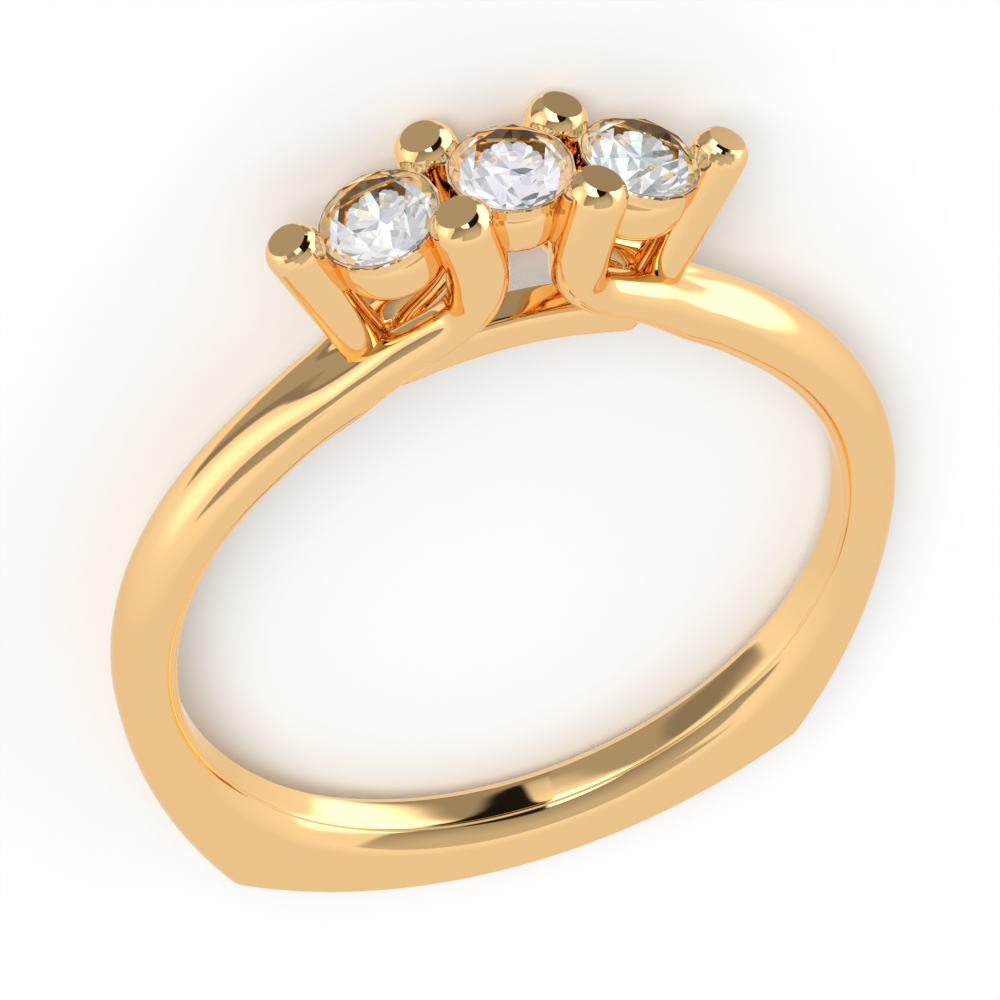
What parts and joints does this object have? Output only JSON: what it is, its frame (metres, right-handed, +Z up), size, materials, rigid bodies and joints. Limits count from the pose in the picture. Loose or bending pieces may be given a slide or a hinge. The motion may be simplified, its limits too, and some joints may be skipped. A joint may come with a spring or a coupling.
{
  "type": "three-stone ring",
  "caption": "Polished yellow gold ring with a flat-bottomed domed band whose shoulders split into arms that sweep up into prongs round a row of brilliants in small cups.",
  "frame": {"origin": "middle of the footprint, on the surface that the ring lies on", "axes": "+Z up from that surface, close to the finger's axis; +Y from the foot of the shank towards the stones; +X along the row of stones, from the left stone to the right one"},
  "size_m": [0.0202, 0.0252, 0.004],
  "materials": {
    "gold": "polished yellow gold",
    "stone": "clear brilliant-cut stone"
  },
  "bodies": {
    "root": {"mounting": "gold", "centre_stone": "stone", "left_stone": "stone", "right_stone": "stone"}
  },
  "joints": []
}
